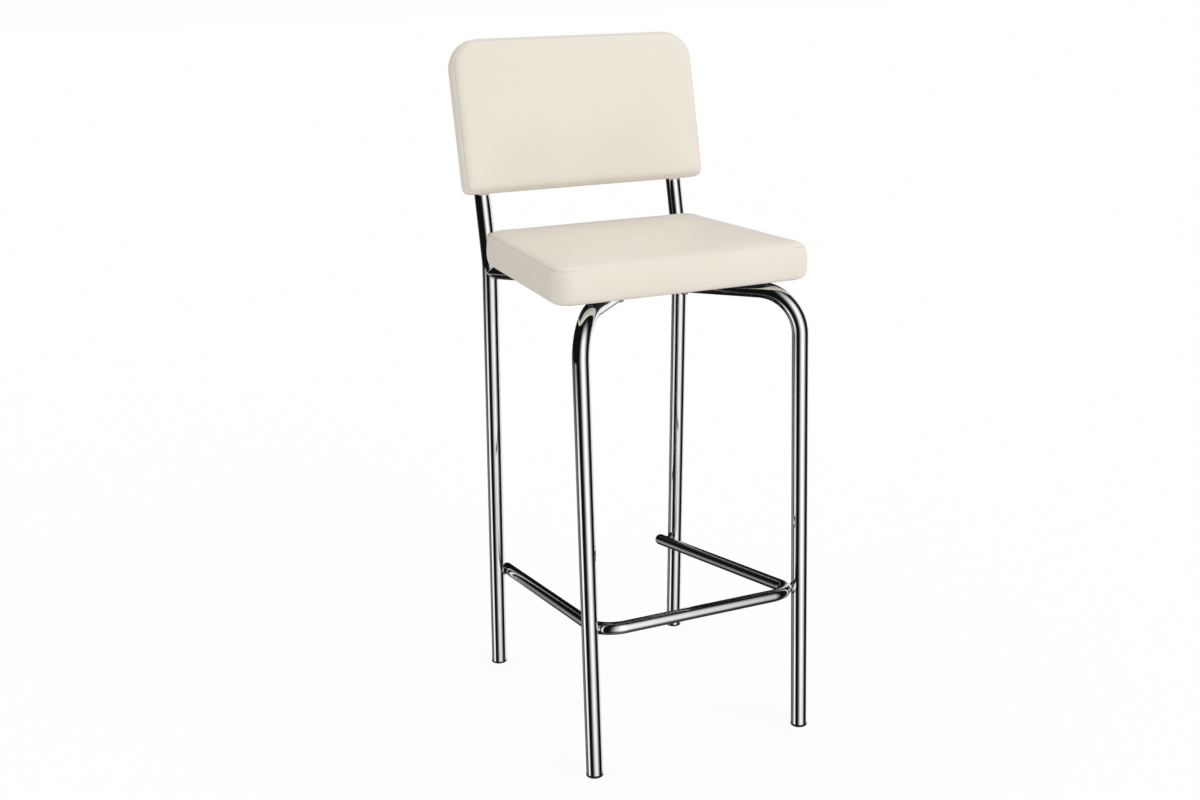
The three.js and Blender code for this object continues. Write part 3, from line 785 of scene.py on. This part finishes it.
def sewSeams(piece, pad, paths):
    points = [entry for path in paths for entry in path]
    tree = KDTree(len(points))
    for i, (place, _) in enumerate(points):
        tree.insert(place, i)
    tree.balance()
    # Besides pressing the groove in, each point keeps a share of painted shade along the seam, which the
    # leatherette reads.
    seam = piece.data.attributes.new("seam", "FLOAT", "POINT")
    normals = [vertex.normal.copy() for vertex in piece.data.vertices]
    shadeAmounts = []
    for vertex, normal in zip(piece.data.vertices, normals):
        _, index, distance = tree.find(vertex.co)
        share = math.exp(-(distance / pad["seamWidth"]) ** 2)
        pucker = 1 + 0.18 * math.sin(index * 2.1) * math.sin(index * 0.37)
        plump = plumpness(vertex.co, pad)
        vertex.co -= normal * pad["seamDepth"] * share * pucker * (1 - plump)
        shadeAmounts.append(math.exp(-(distance / pad["seamShadeWidth"]) ** 2) * (1 - plump))
    seam.data.foreach_set("value", shadeAmounts)


stitch = {"length": 0.0031, "radius": 0.00038, "pitch": 0.0044, "sides": 6, "sunk": 0.72}


def stitchShape():
    half, radius = stitch["length"] / 2, stitch["radius"]
    profile = [(0, -half), (radius * 0.7, -half * 0.86), (radius, -half * 0.4), (radius, half * 0.4),
               (radius * 0.7, half * 0.86), (0, half)]
    return turnedPiece("stitchShape", profile, stitch["sides"], Matrix.Identity(4))


def sewStitches(name, pad, paths, place):
    shape = stitchShape()
    points, edges = [], []
    for path in paths:
        start = len(points)
        points += [place @ (spot - normal * pad["seamDepth"] * stitch["sunk"]) for spot, normal in path]
        edges += [(start + i, start + (i + 1) % len(path)) for i in range(len(path))]
    piece = meshObject(name, points, edges)
    grow(piece, repeatAlongPath, {"Part": shape, "Spacing": stitch["pitch"], "Finish": thread})
    bpy.data.objects.remove(shape)
    shadeRound(piece, 60)
    return fitPiece(piece, thread)


def makePad(name, pad, place, coverNode, foamNode):
    rings = [(roundedOutline(pad["corners"], pad["radii"], inset), height) for inset, height in pad["rings"]]
    cover = ringedBlock(name, rings)
    remesh = cover.modifiers.new("even", "REMESH")
    remesh.mode = "VOXEL"
    remesh.voxel_size = pad["voxel"]
    settle(cover)
    swellAsCloth(cover, pad)
    relax = cover.modifiers.new("relax", "SMOOTH")
    relax.factor = 0.5
    relax.iterations = 3
    settle(cover)
    cover.data.update()
    inside = [v.co - v.normal * pad["coverThickness"] for v in cover.data.vertices]
    padding = meshObject(name + "Foam", inside, (), [tuple(p.vertices) for p in cover.data.polygons])
    for vertex in padding.data.vertices:
        vertex.co.z = max(vertex.co.z, pad["foamFrom"])
    faceOutwards(padding, 1e-5)
    padding.data.transform(place)
    shadeRound(padding, 60)
    fitPiece(padding, foam, [foamNode])
    finer = cover.modifiers.new("finer", "SUBSURF")
    finer.levels = finer.render_levels = 1
    settle(cover)
    cover.data.update()
    paths = [seamPath(cover, pad, inset, height) for inset, height in pad["seams"]]
    sewSeams(cover, pad, paths)
    cover.data.transform(place)
    shadeRound(cover, 180)
    fitPiece(cover, leatherette, [coverNode])
    sewStitches(name + "Stitches", pad, paths, place)
    print(f"{name}: {len(cover.data.vertices)} points")
    return cover


seatLow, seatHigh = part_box("seat_cover")
seatPad = {
    "frontWidth": seatHigh.x - seatLow.x + 0.0050,
    "rearWidth": 0.3755,
    "bottom": seatLow.z,
    "top": seatHigh.z + 0.0028,
    "voxel": 0.0045,
    "pressure": 4.0, "bendStiffness": 1.2, "crown": 0.0046, "pullIn": 0.0006,
    "coverThickness": 0.0013,
    "seamWidth": 0.0017, "seamDepth": 0.0008, "seamShadeWidth": 0.0011, "plumpFront": 0.85,
}
seatPad["corners"] = [
    Vector((-seatPad["frontWidth"] / 2, seatLow.y)), Vector((seatPad["frontWidth"] / 2, seatLow.y)),
    Vector((seatPad["rearWidth"] / 2, seatHigh.y)), Vector((-seatPad["rearWidth"] / 2, seatHigh.y)),
]
seatPad["radii"] = [0.028] * 4
bottom, top = seatPad["bottom"], seatPad["top"]
seatPad["rings"] = [
    (0.011, bottom), (0.0060, bottom + 0.0014), (0.0028, bottom + 0.0036), (0.0008, bottom + 0.0068),
    (-0.0004, bottom + 0.012), (-0.0012, bottom + 0.028),
    *rolledEdge(0.019, 0.015, top), (0.036, top + 0.0006), (0.06, top + 0.0012),
]
seatPad["seams"] = [(0.0042, top - 0.0056)]
seatPad["heldBelow"] = bottom + 0.004
seatPad["freeAbove"] = top - 0.014
seatPad["foamFrom"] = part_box("seat_foam")[0].z
makePad("seatCushion", seatPad, Matrix.Identity(4), "seat_cover", "seat_foam")

# The board's lower edge is eased so that the cover can roll round it.
boardBottom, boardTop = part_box("seat_board")[0].z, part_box("seat_board")[1].z
boardRings = [
    (0.0105, boardBottom), (0.0068, boardBottom + 0.0020), (0.0048, boardBottom + 0.0050), (0.0042, boardTop),
]
seatBoard = ringedBlock("seatBoard", [(roundedOutline(seatPad["corners"], seatPad["radii"], inset), height)
                                      for inset, height in boardRings])
shadeRound(seatBoard, 40)
fitPiece(seatBoard, plyMaterial("seatBoardPly", (0, 0, 1)), ["seat_board"])

backFoot = Vector((0, rearLegAt(1, stance["backBendHeight"]).y, stance["backBendHeight"]))
backPlace = Matrix.Translation(backFoot) @ Matrix((
    (1, 0, 0, 0),
    (0, backUp.y, backFront.y, 0),
    (0, backUp.z, backFront.z, 0),
    (0, 0, 0, 1),
))
backPad = {
    "halfWidth": 0.211, "start": 0.1105, "height": 0.2424, "rear": 0.0128, "front": 0.0428,
    "voxel": 0.0042,
    "pressure": 4.0, "bendStiffness": 1.2, "crown": 0.0034, "pullIn": 0.0006,
    "coverThickness": 0.0013,
    "seamWidth": 0.0017, "seamDepth": 0.0006, "seamShadeWidth": 0.0011, "plumpFront": 0.0,
}
backPad["corners"] = [
    Vector((-backPad["halfWidth"], backPad["start"])), Vector((backPad["halfWidth"], backPad["start"])),
    Vector((backPad["halfWidth"], backPad["start"] + backPad["height"])),
    Vector((-backPad["halfWidth"], backPad["start"] + backPad["height"])),
]
backPad["radii"] = [0.011, 0.011, 0.048, 0.048]
rear, front = backPad["rear"], backPad["front"]
backPad["rings"] = [
    (0.0035, rear), (0.0008, rear + 0.0008), (-0.0006, rear + 0.003), (0.0, rear + 0.008),
    *rolledEdge(0.016, 0.014, front), (0.03, front + 0.0004), (0.05, front + 0.0008),
]
backPad["seams"] = [(0.0036, front - 0.0052), (0.0012, rear + 0.0012)]
backPad["heldBelow"] = rear + 0.004
backPad["freeAbove"] = front - 0.010
backPad["foamFrom"] = rear + 0.0118  # past the rear of the cover, the board and their gaps
makePad("backCushion", backPad, backPlace, "back_cover", "back_foam")


screw = {
    "headRadius": 0.006, "rim": 0.0012, "headHeight": 0.0034, "shankRadius": 0.003, "sides": 36,
    "keyRadius": 0.0023, "keyDepth": 0.002, "headGap": 0.0003, "inset": 0.045, "backLength": 0.0415,
}


def screwShape(length):  # button head below the origin's plane, shank up along +Z
    shape = bmesh.new()
    sides = screw["sides"]
    turns = [2 * math.pi * i / sides for i in range(sides)]
    dome = screw["headHeight"] - screw["rim"]
    profile = [(screw["shankRadius"], length), (screw["shankRadius"], 0), (screw["headRadius"], 0)]
    for turn in [math.pi / 2 * i / 8 for i in range(7)]:
        profile.append((screw["headRadius"] * math.cos(turn) ** 0.6, -screw["rim"] - dome * math.sin(turn)))

    def ring(radii, height):
        return [shape.verts.new((r * math.cos(t), r * math.sin(t), height)) for r, t in zip(radii, turns)]

    # The key's socket has six flats.
    apothem = screw["keyRadius"] * math.cos(math.pi / 6)
    flats = [apothem / math.cos((t % (math.pi / 3)) - math.pi / 6) for t in turns]
    loops = [ring([radius] * sides, height) for radius, height in profile]
    loops.append(ring(flats, -screw["headHeight"]))
    loops.append(ring([flat * 0.98 for flat in flats], -screw["headHeight"] + screw["keyDepth"]))
    for before, after in zip(loops, loops[1:]):
        for i in range(sides):
            j = (i + 1) % sides
            shape.faces.new((before[i], before[j], after[j], after[i]))
    shape.faces.new(loops[0])
    shape.faces.new(loops[-1])
    bmesh.ops.recalc_face_normals(shape, faces=shape.faces)
    mesh = bpy.data.meshes.new("screwShape")
    shape.to_mesh(mesh)
    shape.free()
    piece = addObject("screwShape", mesh)
    shadeRound(piece, 40)
    return piece


def fitScrews(name, places, aim, length, nodes):
    shape = screwShape(length)
    piece = meshObject(name, places)
    direction = piece.data.attributes.new("aim", "FLOAT_VECTOR", "POINT")
    for entry in direction.data:
        entry.vector = aim
    grow(piece, partAtPlaces, {"Part": shape, "Finish": zinc})
    bpy.data.objects.remove(shape)
    shadeRound(piece, 40)
    fitPiece(piece, zinc, nodes)


def nodeMiddle(node):
    low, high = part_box(node)
    return (low + high) / 2


headSeat = legTube["radius"] + screw["headGap"]
seatScrews = [f"seat_screw_{i}" for i in range(1, 5)]
seatPlaces = [nodeMiddle(node) for node in seatScrews]
for place in seatPlaces:
    place.z = stance["crossHeight"] - headSeat
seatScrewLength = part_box(seatScrews[0])[1].z - seatPlaces[0].z
fitScrews("seatScrews", seatPlaces, Vector((0, 0, 1)), seatScrewLength, seatScrews)
backScrews = [f"back_screw_{i}" for i in range(1, 5)]
backRuns = [backPad["start"] + screw["inset"], stance["backTubeRun"] - screw["inset"]]
backPlaces = [onBackTube(side, run) - backFront * headSeat for side in (-1, 1) for run in backRuns]
fitScrews("backScrews", backPlaces, backFront, screw["backLength"], backScrews)

staple = {"crown": 0.010, "wire": 0.0006, "pitch": 0.042, "inset": 0.023}


def stapleShape():  # a flat wire crown along +Z with its legs pushed in
    half, wire = staple["crown"] / 2, staple["wire"]
    path = [(0, -wire * 3, -half), (0, 0, -half), (0, 0, half), (0, -wire * 3, half)]
    piece = meshObject("stapleShape", path, [(0, 1), (1, 2), (2, 3)])
    grow(piece, sweptTube, {"Tube radius": wire, "Bend radius": wire, "Bend steps": 3, "Sides": 8,
                            "Ripple": 0.0, "Finish": zinc})
    return piece


def fitStaples():
    shape = stapleShape()
    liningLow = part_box("seat_underside_lining")[0].z
    outline = roundedOutline(seatPad["corners"], seatPad["radii"], staple["inset"], 6)
    points = [Vector((p.x, p.y, liningLow - staple["wire"] * 0.4)) for p in outline]
    piece = meshObject("liningStaples", points, [(i, (i + 1) % len(points)) for i in range(len(points))])
    grow(piece, repeatAlongPath, {"Part": shape, "Spacing": staple["pitch"], "Finish": zinc})
    bpy.data.objects.remove(shape)
    shadeRound(piece, 60)
    return fitPiece(piece, zinc)


fitStaples()
print("screws and staples made")

# Hidden CAD parts that stay as they are, with their own finishes.
keptNodes = {
    "back_board": plyMaterial("backBoardPly", tuple(backFront)),
    "seat_underside_lining": lining,
}
for number in range(1, 5):
    keptNodes[f"seat_tee_nut_{number}"] = zinc
    keptNodes[f"back_tee_nut_{number}"] = zinc
for node, material in keptNodes.items():
    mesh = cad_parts[node].data
    if not mesh.materials:
        mesh.materials.append(material)
    for index in range(len(mesh.materials)):
        mesh.materials[index] = material
print("kept parts painted")


studio = {
    "floorSize": 60.0, "floorWhite": 0.95, "floorLift": 0.915, "backdrop": 0.985, "ambient": 0.66,
    "shellRadius": 9.0, "shellMiddle": (0, 0, 0.55), "shellDark": 0.006,
}

# What polished metal mirrors: soft panels in a dark room. Angles are in degrees round the stool,
# 0 at its front and 90 at its right, and up from the horizon.
softPanels = [
    {"round": 5, "half": 26, "soft": 24, "up": 4, "halfUp": 46, "softUp": 26, "power": 1.14},
    {"round": -95, "half": 13, "soft": 6, "up": -24, "halfUp": 11, "softUp": 5, "power": 1.05},
    {"round": -136, "half": 14, "soft": 10, "up": -26, "halfUp": 12, "softUp": 8, "power": 0.16},
    {"round": -156, "half": 8, "soft": 8, "up": -22, "halfUp": 13, "softUp": 8, "power": 0.26},
    {"round": -176, "half": 8, "soft": 8, "up": 28, "halfUp": 6, "softUp": 6, "power": 0.14},
    {"round": 118, "half": 19, "soft": 12, "up": -6, "halfUp": 38, "softUp": 18, "power": 0.95},
    {"round": 20, "half": 80, "soft": 40, "up": -80, "halfUp": 14, "softUp": 10, "power": 0.14},
]


def shellMaterial():
    paint = Paint("softPanelsInDark")
    place = paint.objectPlace(centre=studio["shellMiddle"])
    aim = paint.add("ShaderNodeVectorMath", {0: place}, operation="NORMALIZE").outputs[0]
    split = paint.add("ShaderNodeSeparateXYZ", {0: aim})
    forward = paint.math("MULTIPLY", split.outputs[1], -1)
    across = paint.math("DEGREES", paint.math("ARCTAN2", split.outputs[0], forward))
    up = paint.math("DEGREES", paint.math("ARCSINE", split.outputs[2]))

    def share(value, half, soft):  # 1 well inside the panel, 0 well outside it
        return paint.add("ShaderNodeMapRange", {
            "Value": paint.math("ABSOLUTE", value), "From Min": half + soft, "From Max": half - soft,
        }, interpolation_type="SMOOTHSTEP").outputs[0]

    total = studio["shellDark"]
    for panel in softPanels:
        away = paint.math("WRAP", paint.math("SUBTRACT", across, panel["round"]), 180.0, -180.0)
        lift = paint.math("SUBTRACT", up, panel["up"])
        sideways = share(away, panel["half"], panel["soft"])
        upwards = share(lift, panel["halfUp"], panel["softUp"])
        lit = paint.math("MULTIPLY", paint.math("MULTIPLY", sideways, upwards), panel["power"])
        total = paint.math("ADD", lit, total)
    glow = paint.add("ShaderNodeEmission", {"Color": (1, 1, 1, 1), "Strength": total})
    paint.tree.links.new(glow.outputs[0], paint.output.inputs[0])
    paint.material.cycles.emission_sampling = "NONE"
    return paint.material


def makeShell():
    shape = bmesh.new()
    bmesh.ops.create_uvsphere(shape, u_segments=64, v_segments=32, radius=studio["shellRadius"])
    bmesh.ops.translate(shape, verts=shape.verts, vec=studio["shellMiddle"])
    mesh = bpy.data.meshes.new("studioShell")
    shape.to_mesh(mesh)
    shape.free()
    shell = addObject("studioShell", mesh)
    shell.data.materials.append(shellMaterial())
    shell.visible_camera = False
    shell.visible_diffuse = False
    shell.visible_transmission = False
    shell.visible_volume_scatter = False
    shell.visible_shadow = False
    return shell


def floorMaterial():
    paint = Paint("whiteFloor")
    path = paint.add("ShaderNodeLightPath")
    grain = paint.noise(paint.objectPlace(), 3.0)
    white = paint.between(grain, studio["floorWhite"] - 0.004, studio["floorWhite"] + 0.004)
    matt = paint.add("ShaderNodeBsdfDiffuse", {"Color": white})
    seen = paint.math("MAXIMUM", path.outputs["Is Camera Ray"], path.outputs["Is Glossy Ray"])
    seen = paint.math("MAXIMUM", seen, path.outputs["Is Transmission Ray"])
    glow = paint.add("ShaderNodeEmission", {"Color": (1, 1, 1, 1), "Strength": 1.0})
    mix = paint.add("ShaderNodeMixShader", {
        0: paint.math("MULTIPLY", seen, studio["floorLift"]), 1: matt.outputs[0], 2: glow.outputs[0],
    })
    paint.tree.links.new(mix.outputs[0], paint.output.inputs[0])
    paint.material.cycles.emission_sampling = "NONE"
    return paint.material


def makeFloor():
    half = studio["floorSize"] / 2
    corners = [(-half, -half, 0), (half, -half, 0), (half, half, 0), (-half, half, 0)]
    floor = meshObject("studioFloor", corners, (), [(0, 1, 2, 3)])
    floor.data.materials.append(floorMaterial())
    floor.visible_glossy = False
    return floor


def makeWorld():
    world = bpy.data.worlds.new("studioWorld")
    scene.world = world
    world.use_nodes = True
    nodes, links = world.node_tree.nodes, world.node_tree.links
    nodes.clear()
    path = nodes.new("ShaderNodeLightPath")
    seen = nodes.new("ShaderNodeMath")
    seen.operation = "MAXIMUM"
    seenToo = nodes.new("ShaderNodeMath")
    seenToo.operation = "MAXIMUM"
    strength = nodes.new("ShaderNodeMapRange")
    strength.inputs["To Min"].default_value = studio["ambient"]
    strength.inputs["To Max"].default_value = studio["backdrop"]
    sky = nodes.new("ShaderNodeBackground")
    sky.inputs["Color"].default_value = (1, 1, 1, 1)
    out = nodes.new("ShaderNodeOutputWorld")
    links.new(path.outputs["Is Camera Ray"], seen.inputs[0])
    links.new(path.outputs["Is Glossy Ray"], seen.inputs[1])
    links.new(seen.outputs[0], seenToo.inputs[0])
    links.new(path.outputs["Is Transmission Ray"], seenToo.inputs[1])
    links.new(seenToo.outputs[0], strength.inputs["Value"])
    links.new(strength.outputs[0], sky.inputs["Strength"])
    links.new(sky.outputs[0], out.inputs["Surface"])


# Each lamp shines from its direction towards the stool.
lamps = [
    {"name": "keyLamp", "from": (0.45, -0.75, 0.5), "power": 0.92, "spread": 50},
    {"name": "topLamp", "from": (0.1, 0.1, 1.0), "power": 0.62, "spread": 70},
]


def makeLamps():
    for lamp in lamps:
        light = bpy.data.lights.new(lamp["name"], "SUN")
        light.energy = lamp["power"]
        light.angle = math.radians(lamp["spread"])
        holder = bpy.data.objects.new(lamp["name"], light)
        scene.collection.objects.link(holder)
        direction = Vector(lamp["from"]).normalized()
        holder.rotation_euler = direction.to_track_quat("Z", "Y").to_euler()
        holder.location = direction * 4
        holder.visible_glossy = False


# Degrees: heading from straight ahead towards the right, then down, then roll.
view = {
    "place": (-0.99051, -2.09087, 1.18381), "heading": 24.094, "down": 16.351, "roll": -1.015,
    "lens": 45.31,
}


def makeCamera():
    lens = bpy.data.cameras.new("studioCamera")
    lens.lens = view["lens"]
    lens.sensor_width = 36
    lens.sensor_fit = "HORIZONTAL"
    lens.clip_end = 200
    camera = bpy.data.objects.new("studioCamera", lens)
    scene.collection.objects.link(camera)
    heading, down, roll = degrees(view["heading"], view["down"], view["roll"])
    turn = Matrix.Rotation(-heading, 4, "Z") @ Matrix.Rotation(math.pi / 2 - down, 4, "X")
    turn = turn @ Matrix.Rotation(roll, 4, "Z")
    camera.matrix_world = Matrix.Translation(view["place"]) @ turn
    scene.camera = camera


makeShell()
makeFloor()
makeWorld()
makeLamps()
makeCamera()
scene.view_settings.view_transform = "Standard"
print("studio made")
